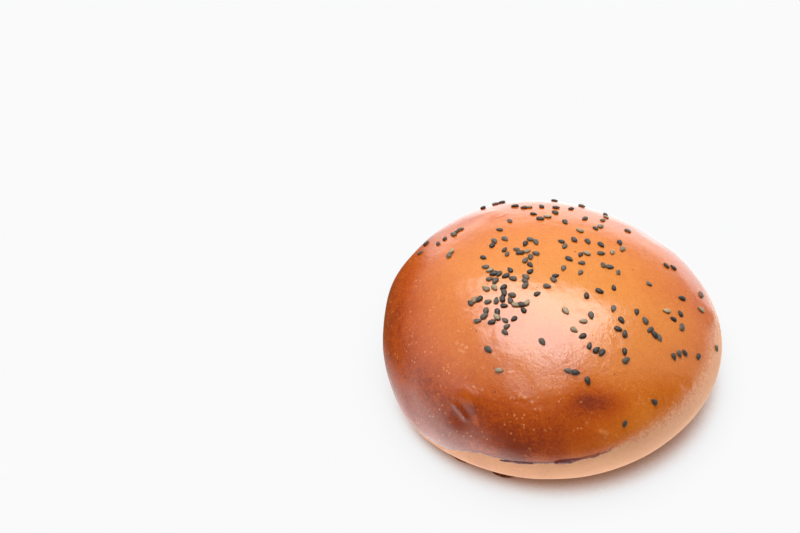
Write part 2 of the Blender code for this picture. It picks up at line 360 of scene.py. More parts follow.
crust = {
    "firstCuts": 7,
    "secondCuts": 15,
    # lower edge of the glaze: azimuth and latitude in degrees, width of its fade in metres
    "glazeEdge": (
        (0.0, 22.0, 0.0070), (18.0, 16.0, 0.0050), (40.0, 10.0, 0.0035), (75.0, 6.0, 0.0022),
        (110.0, 0.0, 0.0014), (145.0, -4.0, 0.0016), (172.0, -16.0, 0.0012),
        (195.0, -38.0, 0.0010), (204.0, -33.0, 0.0010), (211.0, -29.0, 0.0009),
        (218.0, -25.0, 0.0008), (227.0, -21.5, 0.0007), (231.0, -17.5, 0.0006),
        (234.0, -12.5, 0.0006), (238.5, -3.0, 0.0005), (243.0, 2.5, 0.0004),
        (248.5, 2.0, 0.0004), (259.0, 3.0, 0.0004), (268.0, 4.5, 0.0004),
        (276.0, 7.0, 0.0005), (284.0, 8.5, 0.0006), (287.0, 10.5, 0.0020), (294.0, 13.0, 0.0060),
        (301.0, 15.0, 0.0095), (309.0, 15.8, 0.0115), (317.0, 16.3, 0.0125),
        (326.0, 18.3, 0.0125), (334.0, 20.3, 0.0125), (345.0, 21.5, 0.0115),
    ),
    # how brown the crown is baked, and the shoulder by azimuth
    "crownBake": 0.12,
    "shoulderBake": ((0.0, 0.72), (20.0, 0.80), (45.0, 0.95), (90.0, 0.98), (120.0, 0.94),
                     (145.0, 0.70), (170.0, 0.76), (190.0, 0.86), (205.0, 0.92), (235.0, 0.98),
                     (262.0, 0.93), (275.0, 0.78), (290.0, 0.60), (320.0, 0.42), (340.0, 0.46)),
    # share of the shoulder's bake that each latitude takes
    "bakeShare": ((15.0, 1.0), (25.0, 0.96), (35.0, 0.78), (45.0, 0.50), (55.0, 0.34),
                  (65.0, 0.18), (75.0, 0.06), (90.0, 0.0)),
    # patches darker: azimuth and latitude in degrees, depth, reach; the first four are baked
    # darker, painted shade is marked below
    "bakedAndShadedPatches": ((275.0, 38.5, 0.24, 0.0050), (281.0, 38.0, 0.30, 0.0045),
                    (287.0, 37.0, 0.26, 0.0050), (293.0, 34.0, 0.12, 0.0050),
                    # the first on this line is painted shade in the dent's crease
                    (235.0, 25.5, 0.30, 0.0022), (258.0, 16.0, 0.08, 0.0120),
                    # painted shade low on the left side
                    (168.0, 4.0, 0.26, 0.0160), (190.0, 0.0, 0.12, 0.0140),
                    # painted shade near the crown, which tones the softbox's highlight down where
                    # it falls
                    (225.0, 68.0, 0.24, 0.0110), (268.0, 64.0, 0.22, 0.0100)),
    # and lighter: where the glaze thinned out above its edge, and round the dent, partly as
    # painted light on its mound and flank
    "paleAndLitPatches": ((262.0, 4.0, -0.26, 0.0050), (274.0, 7.5, -0.24, 0.0050),
                     (285.0, 12.0, -0.16, 0.0060), (238.3, 23.6, -0.18, 0.0011),
                     (238.9, 21.6, -0.18, 0.0011), (232.5, 30.5, -0.20, 0.0028),
                     (300.0, 23.0, -0.20, 0.0070), (292.0, 19.0, -0.10, 0.0050)),
    # how pale the bare dough is painted by azimuth: darker at the front and lower left, paler at
    # the right, as painted shade and painted light
    "barePaleness": ((0.0, 0.50), (190.0, 0.40), (222.0, 0.10), (245.0, 0.20), (265.0, 0.30),
                     (285.0, 0.55), (305.0, 0.80), (335.0, 0.85)),
    # skin that is streaky and pebbled where the rest is smooth
    "pebbledPatches": ((268.0, 56.0, 1.0, 0.0120), (300.0, 55.0, 0.9, 0.0130),
                       (330.0, 60.0, 0.7, 0.0120), (245.0, 45.0, 0.6, 0.0100),
                       (290.0, 35.0, 0.5, 0.0180)),
    # ridges and furrows: azimuth and latitude of both ends, push outwards, width
    "creases": (
        (230.2, 25.0, 234.8, 21.3, 0.00040, 0.0011),
        (230.0, 33.0, 234.0, 32.6, 0.00046, 0.0027),
        (110.5, 48.0, 116.0, 49.0, 0.00009, 0.0008),
        (130.0, 34.0, 134.0, 36.0, 0.00009, 0.0008),
        (352.0, 27.0, 358.0, 22.0, 0.00030, 0.0016),
        (262.0, 44.0, 272.0, 43.0, 0.00012, 0.0030),
        (245.0, 50.0, 252.0, 47.0, -0.00015, 0.0030),
    ),
    # blisters in loose groups: azimuth, latitude, spread, how many, smallest and largest radius
    "blisterGroups": (
        (282.4, 23.8, 0.0000, 1, 0.0008, 0.0008),
        (283.4, 23.0, 0.0004, 2, 0.0006, 0.0008),
        (277.8, 28.5, 0.0004, 2, 0.0005, 0.0007),
        (284.5, 15.5, 0.0030, 4, 0.0006, 0.0009),
        (217.0, 46.2, 0.0034, 6, 0.0005, 0.0008),
        (251.5, 39.7, 0.0040, 7, 0.0004, 0.0008),
        (317.0, 21.5, 0.0070, 12, 0.0004, 0.0009),
        (302.0, 24.0, 0.0080, 8, 0.0004, 0.0008),
        (262.0, 28.0, 0.0200, 14, 0.0003, 0.0007),
        (235.0, 38.0, 0.0160, 10, 0.0003, 0.0007),
        (190.0, 30.0, 0.0250, 10, 0.0003, 0.0007),
        (90.0, 30.0, 0.0300, 12, 0.0003, 0.0008),
        (20.0, 30.0, 0.0250, 8, 0.0003, 0.0008),
    ),
    # a blister's height and reach as shares of its radius, and the height that shows in full
    "blisterHeight": 0.26,
    "blisterReach": 0.8,
    "blisterShown": 0.00012,
    "blisterDraw": 5,
    # soft waves in the skin, and finer ones that make the gloss waver: size and strength
    "waves": (("wideWaves", 0.030, 0.0007), ("fineWaves", 0.007, 0.00012)),
    # relief and waves die away over these heights, towards the flat base
    "reliefFrom": 0.004,
    "wavesFrom": 0.006,
    "waveLevels": 10,
    # how far up from the table the skin looks like the underside
    "undersideReach": 0.003,
}


# a ring of values, read at each azimuth
def aroundBun(azimuth, stops, column=1):
    angles = np.array([stop[0] for stop in stops])
    values = np.array([stop[column] for stop in stops])
    return np.interp(np.degrees(azimuth) % 360, angles, values, period=360)


def blisters(draw):
    found = []
    for azimuth, latitude, spread, count, smallest, largest in crust["blisterGroups"]:
        middle = skin(math.radians(azimuth), math.radians(latitude))
        for _ in range(count):
            astray = np.array([draw.gauss(0, spread / 2) for _ in range(3)])
            radius = draw.uniform(smallest, largest)
            found.append((middle + astray, radius * crust["blisterHeight"],
                          radius * crust["blisterReach"]))
    return found


# push of the ridges and furrows, which fades off sideways and past both ends
def creaseRelief(points):
    total = np.zeros(len(points))
    for azimuthA, latitudeA, azimuthB, latitudeB, push, width in crust["creases"]:
        start = skin(math.radians(azimuthA), math.radians(latitudeA))
        run = skin(math.radians(azimuthB), math.radians(latitudeB)) - start
        along = np.clip((points - start) @ run / (run @ run), 0, 1)
        away = ((points - start - along[:, None] * run) ** 2).sum(axis=1)
        total += push * np.exp(-away / width ** 2)
    return total


# each place drawn to the nearest of the points
def ontoSkin(points, places):
    moved = []
    for point, push, reach in places:
        nearest = points[((points - point) ** 2).sum(axis=1).argmin()]
        moved.append((nearest, push, reach))
    return moved


def makeCrust():
    deselectAll()
    bpy.ops.mesh.primitive_cube_add(size=2, location=(0, 0, 0))
    piece = startPiece("crust")
    bpy.ops.object.mode_set(mode="EDIT")
    bpy.ops.mesh.subdivide(number_cuts=crust["firstCuts"])
    bpy.ops.mesh.subdivide(number_cuts=crust["secondCuts"])
    bpy.ops.transform.tosphere(value=1.0)
    bpy.ops.object.mode_set(mode="OBJECT")

    directions = corners(piece)
    directions /= np.linalg.norm(directions, axis=1)[:, None]
    places, azimuth, latitude, aboveBase = settleOnProfile(directions)
    moveCorners(piece, places)
    draw = random.Random(crust["blisterDraw"])
    blistered = relief(places, ontoSkin(places, blisters(draw)))
    push = relief(places, swellPlaces(bun["swells"])) + creaseRelief(places) + blistered
    push *= np.clip(places[:, 2] / crust["reliefFrom"], 0, 1)
    paint(piece, "blister", np.clip(blistered / crust["blisterShown"], 0, 1))
    moveCorners(piece, places + cornerNormals(piece) * push[:, None])

    paintCrust(piece, places, azimuth, latitude, aboveBase)
    weighWaves(piece, places)
    ripple(piece)
    piece.data.shade_smooth()
    return piece


# how much of the waves each corner takes, in even levels from the base up
def weighWaves(piece, places):
    risen = piece.vertex_groups.new(name="risen")
    count = crust["waveLevels"]
    levels = np.ceil(np.clip(places[:, 2] / crust["wavesFrom"], 0, 1) * count)
    for level in range(1, count + 1):
        members = np.nonzero(levels == level)[0]
        risen.add(members.tolist(), level / count, "REPLACE")


def ripple(piece):
    for name, size, strength in crust["waves"]:
        waves = bpy.data.textures.new(name, "CLOUDS")
        waves.noise_scale = size
        waves.noise_depth = 1
        applyModifier(piece, "DISPLACE", texture=waves, strength=strength, mid_level=0.5,
                      direction="NORMAL", vertex_group="risen")
    piece.vertex_groups.clear()


# what the finish reads at each corner, with the distances in millimetres
def paintCrust(piece, places, azimuth, latitude, aboveBase):
    latitudes, arcs = profileArcs(-90, 90)
    edgeLatitude = np.radians(aroundBun(azimuth, crust["glazeEdge"]))
    edgeArc = np.interp(edgeLatitude, latitudes, arcs)
    paint(piece, "aboveEdge", (aboveBase - edgeArc) * 1000)
    paint(piece, "edgeFade", aroundBun(azimuth, crust["glazeEdge"], 2) * 1000)

    crown = crust["crownBake"]
    shoulder = np.interp(np.degrees(latitude), *zip(*crust["bakeShare"]))
    bake = crown + (aroundBun(azimuth, crust["shoulderBake"]) - crown) * shoulder
    # baked patches, with painted shade and painted light in a few places, go into the bake
    bake += relief(places, swellPlaces(crust["bakedAndShadedPatches"] + crust["paleAndLitPatches"]))
    paint(piece, "bake", np.clip(bake, 0, 1))
    paint(piece, "barePaleness", aroundBun(azimuth, crust["barePaleness"]))
    pebbled = relief(places, swellPlaces(crust["pebbledPatches"]))
    paint(piece, "pebbled", np.clip(pebbled, 0, 1))
    paint(piece, "underneath", np.clip(1 - aboveBase / crust["undersideReach"], 0, 1))


crustLook = {
    # noises: size in metres, detail, roughness and distortion
    "noises": {
        "ragged": (0.0032, 4.0, 0.62),
        "speckle": (0.0008, 3.0, 0.65),
        "clouds": (0.015, 3.0, 0.55),
        "mottle": (0.0024, 3.0, 0.60),
        "freckles": (0.0010, 2.0, 0.55),
        "grain": (0.0006, 3.0, 0.70),
        "dotPatches": (0.011, 2.0),
        "dotShades": (0.0024, 0.0),
        "bareClouds": (0.020, 3.0),
        "bareGrain": (0.0012, 3.0, 0.65),
        "underBlotches": (0.009, 5.0, 0.60),
        "peel": (0.0030, 2.0),
        "wrinkle": (0.0016, 3.0, 0.60, 0.8),
        "pores": (0.0008, 3.0, 0.65),
    },
    # how far the glaze's edge strays: in millimetres, and as shares of its fade
    "edgeStray": 2.2,
    "fadeStray": 0.35,
    "speckleStray": 1.7,
    # how far each noise sways the browning, anywhere and with the bake
    "uneven": (("clouds", 0.36), ("mottle", 0.26), ("freckles", 0.28)),
    "swayAnywhere": 0.35,
    "swayWithBake": 0.8,
    "grainSway": 0.50,
    # glaze from golden to dark brown
    "glazed": (
        (0.00, (0.94, 0.365, 0.062)),
        (0.22, (0.86, 0.255, 0.030)),
        (0.48, (0.71, 0.160, 0.015)),
        (0.72, (0.58, 0.102, 0.010)),
        (0.90, (0.45, 0.070, 0.010)),
        (1.00, (0.30, 0.045, 0.012)),
    ),
    # dough that stayed bare under the glaze's edge, its clouds against its grain
    "bareSway": 0.55,
    "bareCloudShare": 0.6,
    "bareGrainShare": 0.4,
    "bare": (
        (0.20, (0.69, 0.280, 0.112)),
        (0.35, (0.78, 0.330, 0.135)),
        (0.50, (0.86, 0.385, 0.165)),
        (0.75, (0.96, 0.460, 0.215)),
    ),
    # the underside, dull brown and darker in blotches
    "under": (
        (0.30, tint(206, 148, 96)),
        (0.52, tint(176, 112, 62)),
        (0.72, tint(128, 72, 38)),
    ),
    "bead": (0.13, 0.032, 0.035),
    "beadStrength": 0.85,
    # pale specks and dark pits: colour, strength and spacing; the pale specks are partly the
    # blisters' paler tone, partly painted glints
    "paleAndGlintDots": ((0.95, 0.38, 0.13), 0.60, 0.0017),
    "raisedBlistersPaleAndGlint": 0.34,
    "pits": ((0.16, 0.045, 0.030), 0.8, 0.0075),
    # depths of the relief in the gloss, and of the dry dough's grain
    "peelDepth": 0.00010,
    "wrinkleDepth": 0.00012,
    "poreDepth": 0.00006,
    "grainDepth": 0.00020,
    # share of the wrinkles and pores anywhere, and what pebbled skin and the bake add
    "wrinkleShares": (0.10, 0.9),
    "poreShares": (0.15, 0.5, 0.9),
    # height of the glaze among the dry grain
    "glazeLevel": 0.6,
    # roughness of bare dough, how much less the glaze has, and what dark baking gives back
    "dryRoughness": 0.60,
    "glossDrop": 0.50,
    "bakeDulls": 0.12,
}


def crustFinish():
    look = crustLook
    finish = Finish("glazedCrust", IOR=1.7)
    noise = {name: finish.noise(*values) for name, values in look["noises"].items()}
    # how brown it is baked, with painted shade and painted light in a few patches
    bake = finish.attribute("bake")

    # the glaze ends in a ragged edge, sharp or faded
    fade = finish.attribute("edgeFade")
    stray = (noise["ragged"] - 0.5) * (fade * look["fadeStray"] + look["edgeStray"])
    speckles = (noise["speckle"] - 0.5) * fade * look["speckleStray"]
    distance = finish.attribute("aboveEdge") + (stray + speckles)
    glazeShare = (distance / fade + 0.5).between(0.0, 1.0)

    # how brown, with cloudy unevenness, freckles and fine grain
    uneven = sum((noise[name] - 0.5) * sway for name, sway in look["uneven"])
    grain = (noise["grain"] - 0.5) * look["grainSway"]
    brown = bake + uneven * (bake * look["swayWithBake"] + look["swayAnywhere"]) + grain
    glazed = finish.ramp(brown.clamped(), *look["glazed"])

    # a dark bead where the glaze gathered at a sharp edge
    sharpness = 1 - fade.between(0.6, 3.0)
    bead = (1 - distance.between(0.1, 1.6)) * sharpness * look["beadStrength"]
    glazed = finish.mix(bead.clamped(), glazed, look["bead"])

    # pale specks, scattered and in loose patches and on raised blisters, partly their own paler
    # tone and partly painted glints, and a few dark pits
    paleColour, paleStrength, paleSpacing = look["paleAndGlintDots"]
    patches = noise["dotPatches"].between(0.42, 0.62)
    shades = noise["dotShades"].between(0.30, 0.58)
    dotSize = shades * 0.18 + 0.10
    dots = 1 - (finish.dots(paleSpacing) / dotSize).between(0.35, 1.2)
    scattered = dots * patches * shades * (bake + 0.4).clamped()
    raised = finish.attribute("blister").between(0.1, 1.0)
    pale = scattered * paleStrength + raised * look["raisedBlistersPaleAndGlint"]
    glazed = finish.mix(pale.clamped(), glazed, paleColour)
    pitColour, pitStrength, pitSpacing = look["pits"]
    pits = (1 - finish.dots(pitSpacing).between(0.030, 0.060)) * pitStrength
    glazed = finish.mix(pits, glazed, pitColour)

    # bare dough at the shoulder, and the underside
    # painted shade on the bare dough at the front and lower left, painted light at the right
    bareShadeAndLightSway = (finish.attribute("barePaleness") - 0.5) * look["bareSway"]
    bareClouds = noise["bareClouds"] * look["bareCloudShare"]
    bareShade = bareClouds + noise["bareGrain"] * look["bareGrainShare"] + bareShadeAndLightSway
    bare = finish.ramp(bareShade.clamped(), *look["bare"])
    under = finish.ramp(noise["underBlotches"], *look["under"])
    bare = finish.mix(finish.attribute("underneath").between(0.25, 0.95), bare, under)

    # skin: pebbled gloss above, fine dry grain below
    pebbled = finish.attribute("pebbled")
    anywhere, onPebbled = look["wrinkleShares"]
    wrinkle = noise["wrinkle"] * (pebbled * onPebbled + anywhere)
    anywhere, onPebbled, onBaked = look["poreShares"]
    pores = noise["pores"] * (pebbled * onPebbled + bake * onBaked + anywhere)
    dryGrain = noise["bareGrain"] * (1 - glazeShare) + glazeShare * look["glazeLevel"]
    skinRelief = finish.bump(noise["peel"], look["peelDepth"])
    skinRelief = finish.bump(wrinkle, look["wrinkleDepth"], skinRelief)
    skinRelief = finish.bump(pores, look["poreDepth"], skinRelief)
    skinRelief = finish.bump(dryGrain, look["grainDepth"], skinRelief)

    drop = glazeShare.between(0.0, 0.6) * (look["glossDrop"] - bake * look["bakeDulls"])
    finish.feed(Base_Color=finish.mix(glazeShare, bare, glazed),
                Roughness=look["dryRoughness"] - drop, Normal=skinRelief)
    return finish


# Sesame seeds

seed = {
    "length": 0.0030,
    "width": 0.0019,
    "thickness": 0.0011,
    "sink": 0.0002,
    "segments": 12,
    "rings": 7,
    "taper": 0.30,
    "sizeSpread": 0.12,
    "lean": 9.0,
    "spacing": 0.0018,
    "jitter": 0.4,
    "pinchTurn": math.radians(137.5),
    "tries": 60,
    "drawSeed": 11,
    "toneDraw": 29,
    "landFrom": 0.004,
    "paleShare": 0.13,
    "grainSize": 0.00045,
    "grainDepth": 0.00005,
    "streakSize": 0.0011,
    # colours from 0 to 255: the hull from dark to light, its rim, and how much the rim shows; on
    # dark seeds the pale rim is a painted highlight
    "kinds": {
        "seedsDark": {"slot": "seed_dark", "finish": "darkHull", "rimShare": 0.5,
                      "hull": ((44, 39, 36), (80, 73, 66), (122, 112, 98)),
                      "rim": (150, 134, 108)},
        "seedsPale": {"slot": "seed_pale", "finish": "paleHull", "rimShare": 0.9,
                      "hull": ((122, 104, 82), (164, 146, 116), (192, 174, 140)),
                      "rim": (92, 70, 52)},
    },
    # pinches of seeds, in millimetres seen from above: middle x and y from the crown,
    # half length, half width, turn of the pinch in degrees, number of seeds
    "pinches": (
        (5.5, 54.5, 0.4, 0.4, 0.0, 1),
        (-18.5, 52.5, 8.6, 0.8, 30.0, 3),
        (-8.0, 44.5, 6.2, 1.4, -15.0, 3),
        (2.5, 42.5, 5.8, 4.8, 10.0, 3),
        (14.0, 47.5, 7.8, 0.4, 50.0, 2),
        (-36.0, 31.0, 7.2, 0.8, 30.0, 5),
        (-16.5, 30.0, 6.4, 0.4, -125.0, 2),
        (-2.0, 35.5, 6.0, 2.4, -20.0, 3),
        (20.0, 38.0, 13.2, 3.0, 35.0, 4),
        (30.5, 31.5, 0.4, 0.4, 0.0, 1),
        (-47.0, 28.5, 5.0, 0.4, -110.0, 2),
        (-37.5, 18.5, 1.4, 0.4, -120.0, 2),
        (-20.0, 20.0, 5.8, 1.6, -145.0, 3),
        (-8.0, 18.5, 3.0, 2.2, 65.0, 3),
        (9.0, 29.0, 6.8, 0.4, 135.0, 2),
        (19.0, 29.5, 2.8, 0.4, -135.0, 2),
        (26.5, 19.5, 3.4, 0.3, 105.0, 2),
        (-24.5, 8.0, 9.2, 0.6, -70.0, 4),
        (-15.5, 14.0, 3.8, 2.2, -135.0, 3),
        (-9.0, 11.0, 3.6, 3.8, -35.0, 5),
        (6.0, 17.5, 5.8, 2.8, -115.0, 3),
        (8.0, 6.5, 5.8, 6.8, 10.0, 5),
        (17.0, 15.0, 5.4, 6.8, -65.0, 5),
        (44.5, 13.0, 2.2, 0.4, 15.0, 2),
        (-22.5, -2.5, 4.2, 4.0, -75.0, 5),
        (-17.5, 2.5, 3.6, 3.2, -100.0, 4),
        (-10.5, 0.0, 6.8, 1.0, -110.0, 5),
        (-4.0, -4.5, 10.8, 0.4, 45.0, 4),
        (20.5, 5.5, 6.0, 0.3, 155.0, 3),
        (34.0, 0.5, 0.4, 0.4, 0.0, 1),
        (53.0, -1.0, 8.6, 7.2, -80.0, 3),
        (-27.5, -8.5, 6.4, 1.4, 170.0, 5),
        (-24.0, -16.5, 6.0, 3.0, 0.0, 7),
        (-18.5, -9.0, 3.0, 3.6, -165.0, 5),
        (-12.5, -13.0, 3.4, 2.6, 120.0, 4),
        (17.5, -8.0, 9.6, 6.8, 140.0, 4),
        (42.5, -11.5, 5.0, 4.2, -115.0, 4),
        (58.5, -16.5, 0.4, 0.4, 0.0, 1),
        (-18.0, -20.5, 6.6, 0.4, -115.0, 3),
        (-7.0, -27.5, 0.4, 0.4, 0.0, 1),
        (5.0, -18.5, 9.0, 5.2, -20.0, 4),
        (9.5, -28.0, 8.8, 1.0, -45.0, 4),
        (21.5, -20.5, 5.4, 1.8, -75.0, 3),
        (32.0, -19.5, 7.4, 1.0, -55.0, 5),
        (45.5, -25.5, 10.0, 1.0, -165.0, 4),
        (-24.0, -32.0, 7.0, 0.4, 115.0, 2),
        (4.5, -38.5, 7.8, 0.8, 155.0, 3),
        (22.0, -31.0, 2.8, 0.4, 105.0, 2),
        (20.5, -51.5, 0.4, 0.4, 0.0, 1),
        (31.0, -44.0, 0.4, 0.4, 0.0, 1),
    ),
}


# the place on the dome over a point of the plan, kept just inside the rim
def domePlace(x, y, places, rim=0.999):
    azimuth = math.atan2(y, x)
    share = math.hypot(x, y) / (bun["radius"] * outline(azimuth))
    return skinPlace(azimuth, math.acos(min(share, rim)), places)


# the same draws as the solid's, so that each seed stands where the solid has it
def strewSeeds():
    draw = random.Random(seed["drawSeed"])
    places = swellPlaces(bun["swells"])
    strewn = []
    for middleOfX, middleOfY, halfLength, halfWidth, turn, count in seed["pinches"]:
        pinch = Matrix.Rotation(math.radians(turn), 2)
        for number in range(count):
            away = math.sqrt((number + 0.5) / count)
            along = halfLength * away * math.cos(seed["pinchTurn"] * number)
            across = halfWidth * away * math.sin(seed["pinchTurn"] * number)
            for _ in range(seed["tries"]):
                astray = Vector((draw.uniform(-1, 1), draw.uniform(-1, 1))) * seed["jitter"]
                offset = pinch @ Vector((along, across)) + astray
                x = (middleOfX + offset.x) / 1000
                y = (middleOfY + offset.y) / 1000
                point, outwards = domePlace(x, y, places)
                if all((point - other[0]).length > seed["spacing"] for other in strewn):
                    break
            heading = draw.uniform(0, 2 * math.pi)
            lean = math.radians(draw.uniform(-seed["lean"], seed["lean"]))
            size = draw.uniform(1 - seed["sizeSpread"], 1 + seed["sizeSpread"])
            strewn.append((point, outwards, heading, lean, size))
    return strewn


# one seed: a flattened ball, drawn out to a tip at -X
def makeSeed():
    deselectAll()
    bpy.ops.mesh.primitive_uv_sphere_add(segments=seed["segments"], ring_count=seed["rings"],
                                         radius=0.5, location=(0, 0, 0))
    piece = startPiece("seedPattern")
    bpy.ops.object.mode_set(mode="EDIT")
    bpy.ops.mesh.select_all(action="SELECT")
    bpy.ops.transform.rotate(value=math.radians(90), orient_axis="Y", center_override=(0, 0, 0))
    bpy.ops.transform.resize(value=(seed["length"], seed["width"], seed["thickness"]),
                             center_override=(0, 0, 0))
    bpy.ops.object.mode_set(mode="OBJECT")
    levels = sorted({round(vert.co.x, 7) for vert in piece.data.vertices})
    for level in levels[1:-1]:
        pickAtX(piece, level)
        blunt = 1 + seed["taper"] * level / (seed["length"] / 2)
        bpy.ops.object.mode_set(mode="EDIT")
        bpy.ops.transform.resize(value=(1, blunt, 0.5 + 0.5 * blunt),
                                 center_override=(level, 0, 0))
        bpy.ops.object.mode_set(mode="OBJECT")
    piece.data.shade_smooth()
    return piece


def pickAtX(piece, level):
    bpy.ops.object.mode_set(mode="EDIT")
    bpy.ops.mesh.select_mode(type="VERT")
    bpy.ops.mesh.select_all(action="DESELECT")
    bpy.ops.object.mode_set(mode="OBJECT")
    for vert in piece.data.vertices:
        vert.select = abs(vert.co.x - level) < 1e-6


# how far a corner is from the seed's flat middle, for the hull's rim: a painted highlight on dark
# seeds, a darker edge on pale ones
def paintSeed(piece, tone):
    flat = corners(piece)
    rim = np.hypot(flat[:, 0] / (seed["length"] / 2), flat[:, 1] / (seed["width"] / 2))
    paint(piece, "rim", np.clip(rim, 0, 1))
    paint(piece, "tone", np.full(len(flat), tone))


# onto the crust as it really lies there, straight below where the seed is dropped
def placeSeed(piece, dome, point, outwards, heading, lean, size):
    struck, landed, _, _ = dome.ray_cast(point + outwards * seed["landFrom"], -outwards)
    if struck:
        point = landed
    upright = outwards.to_track_quat("Z", "Y").to_matrix().to_4x4()
    raised = seed["thickness"] / 2 - seed["sink"]
    piece.data.transform(
        Matrix.Translation(point)
        @ upright
        @ Matrix.Rotation(heading, 4, "Z")
        @ Matrix.Rotation(lean, 4, "X")
        @ Matrix.Scale(size, 4)
        @ Matrix.Translation((0, 0, raised))
    )


def makeSeeds(dome):
    pattern = makeSeed()
    draw = random.Random(seed["toneDraw"])
    kinds = {name: [] for name in seed["kinds"]}
    for point, outwards, heading, lean, size in strewSeeds():
        copied = pattern.copy()
        copied.data = pattern.data.copy()
        bpy.context.scene.collection.objects.link(copied)
        pale = draw.random() < seed["paleShare"]
        paintSeed(copied, draw.random())
        placeSeed(copied, dome, point, outwards, heading, lean, size)
        kinds["seedsPale" if pale else "seedsDark"].append(copied)
    bpy.data.objects.remove(pattern)
    return {name: joinPieces(name, copies) for name, copies in kinds.items()}


def joinPieces(name, copies):
    deselectAll()
    for piece in copies:
        piece.select_set(True)
    bpy.context.view_layer.objects.active = copies[0]
    bpy.ops.object.join()
    return startPiece(name)


def seedFinish(kind):
    finish = Finish(kind["finish"], IOR=1.45)
    tone = finish.attribute("tone")
    rim = finish.attribute("rim")
    grain = finish.noise(seed["grainSize"], detail=3.0, roughness=0.6)
    streak = finish.noise(seed["streakSize"], detail=2.0)
    shade = tone * 0.55 + streak * 0.30 + grain * 0.35 - 0.10
    dark, middle, light = (tint(*colour) for colour in kind["hull"])
    hull = finish.ramp(shade.clamped(), (0.10, dark), (0.50, middle), (0.90, light))
    # the rim: a painted highlight on the dark seeds, a darker edge on the pale ones
    edge = rim.between(0.80, 0.98) * tone.between(0.35, 0.8) * kind["rimShare"]
    finish.feed(Base_Color=finish.mix(edge.clamped(), hull, tint(*kind["rim"])),
                Roughness=0.34 + grain * 0.2, Normal=finish.bump(grain, seed["grainDepth"]))
    return finish


# Baked glaze: the torn lip at the glaze's edge, and flakes at the foot

glaze = {
    # finish, azimuth and latitude in degrees, length along the edge, width, thickness,
    # rise in degrees
    "lips": (
        ("tornGlaze", 271.0, 6.0, 0.0090, 0.0022, 0.0011, 6.0),
        ("brownedGlaze", 279.0, 8.0, 0.0090, 0.0015, 0.0008, 7.0),
        ("tornGlaze", 255.0, 2.3, 0.0120, 0.0012, 0.0007, 6.0),
    ),
    # finish, azimuth in degrees, distance of the middle from the axis, length, width, thickness
    "footFlakes": (
        ("burntFlake", 249.5, 0.0545, 0.0098, 0.0052, 0.0011),
        ("thinFlake", 232.0, 0.0556, 0.0100, 0.0052, 0.0006),
    ),
    "flakeAboveTable": 0.0001,
    # the lenses are made ragged: how far sideways, share of the thickness, size of the waver
    "raggedness": 0.0006,
    "raggedShare": 0.5,
    "lipWaver": 0.0022,
    "flakeWaver": 0.0016,
    "segments": 48,
    "rings": 24,
    "blotchSize": 0.0018,
    "crinkleSize": 0.0009,
    "crinkleDepth": 0.00015,
    # darkest and lightest colour, from 0 to 255
    "finishes": {
        "tornGlaze": ((78, 34, 40), (150, 74, 56)),
        "brownedGlaze": ((112, 52, 40), (188, 102, 60)),
        "burntFlake": ((78, 38, 27), (146, 86, 56)),
        "thinFlake": ((118, 78, 56), (176, 130, 100)),
    },
}


# a thin lens with its length along Y, made ragged
def makeLens(name, length, width, thickness, place, waver):
    deselectAll()
    bpy.ops.mesh.primitive_uv_sphere_add(segments=glaze["segments"], ring_count=glaze["rings"],
                                         radius=0.5, location=(0, 0, 0))
    piece = startPiece(name)
    bpy.ops.object.mode_set(mode="EDIT")
    bpy.ops.mesh.select_all(action="SELECT")
    bpy.ops.transform.resize(value=(width, length, thickness), center_override=(0, 0, 0))
    bpy.ops.object.mode_set(mode="OBJECT")
    ragged = bpy.data.textures.new(name + "Ragged", "CLOUDS")
    ragged.noise_scale = waver
    ragged.noise_depth = 2
    strengths = {"X": glaze["raggedness"], "Z": thickness * glaze["raggedShare"]}
    for direction, strength in strengths.items():
        applyModifier(piece, "DISPLACE", texture=ragged, strength=strength, mid_level=0.5,
                      direction=direction)
    piece.data.transform(place)
    piece.data.shade_smooth()
    return piece


def makeLips(finishes):
    places = swellPlaces(bun["swells"])
    for number, (finish, azimuth, latitude, *size, rise) in enumerate(glaze["lips"]):
        point, outwards = skinPlace(math.radians(azimuth), math.radians(latitude), places)
        sideways = Vector((0, 0, 1)).cross(outwards).normalized()
        turned = Matrix((outwards.cross(sideways), sideways, -outwards)).transposed()
        tilt = Matrix.Rotation(-math.radians(rise), 4, "Z")
        place = Matrix.Translation(point) @ turned.to_4x4() @ tilt
        lip = makeLens(f"glazeLip{number}", *size, place, glaze["lipWaver"])
        wear(lip, finishes[finish])


def makeFlakes(finishes):
    for number, (finish, azimuth, distance, *size) in enumerate(glaze["footFlakes"]):
        height = size[-1] / 2 + glaze["flakeAboveTable"]
        place = (
            Matrix.Translation((-middleX, -middleY, 0))
            @ Matrix.Rotation(math.radians(azimuth), 4, "Z")
            @ Matrix.Translation((distance, 0, height))
        )
        flake = makeLens(f"footFlake{number}", *size, place, glaze["flakeWaver"])
        wear(flake, finishes[finish])


def burntFinish(name, dark, light):
    finish = Finish(name, IOR=1.5)
    blotch = finish.noise(glaze["blotchSize"], detail=3.0, roughness=0.6)
    colour = finish.ramp(blotch, (0.30, tint(*dark)), (0.70, tint(*light)))
    crinkle = finish.noise(glaze["crinkleSize"], detail=3.0, roughness=0.6)
    finish.feed(Base_Color=colour, Roughness=0.15 + blotch * 0.2,
                Normal=finish.bump(crinkle, glaze["crinkleDepth"]))
    return finish


# Floor, light and camera

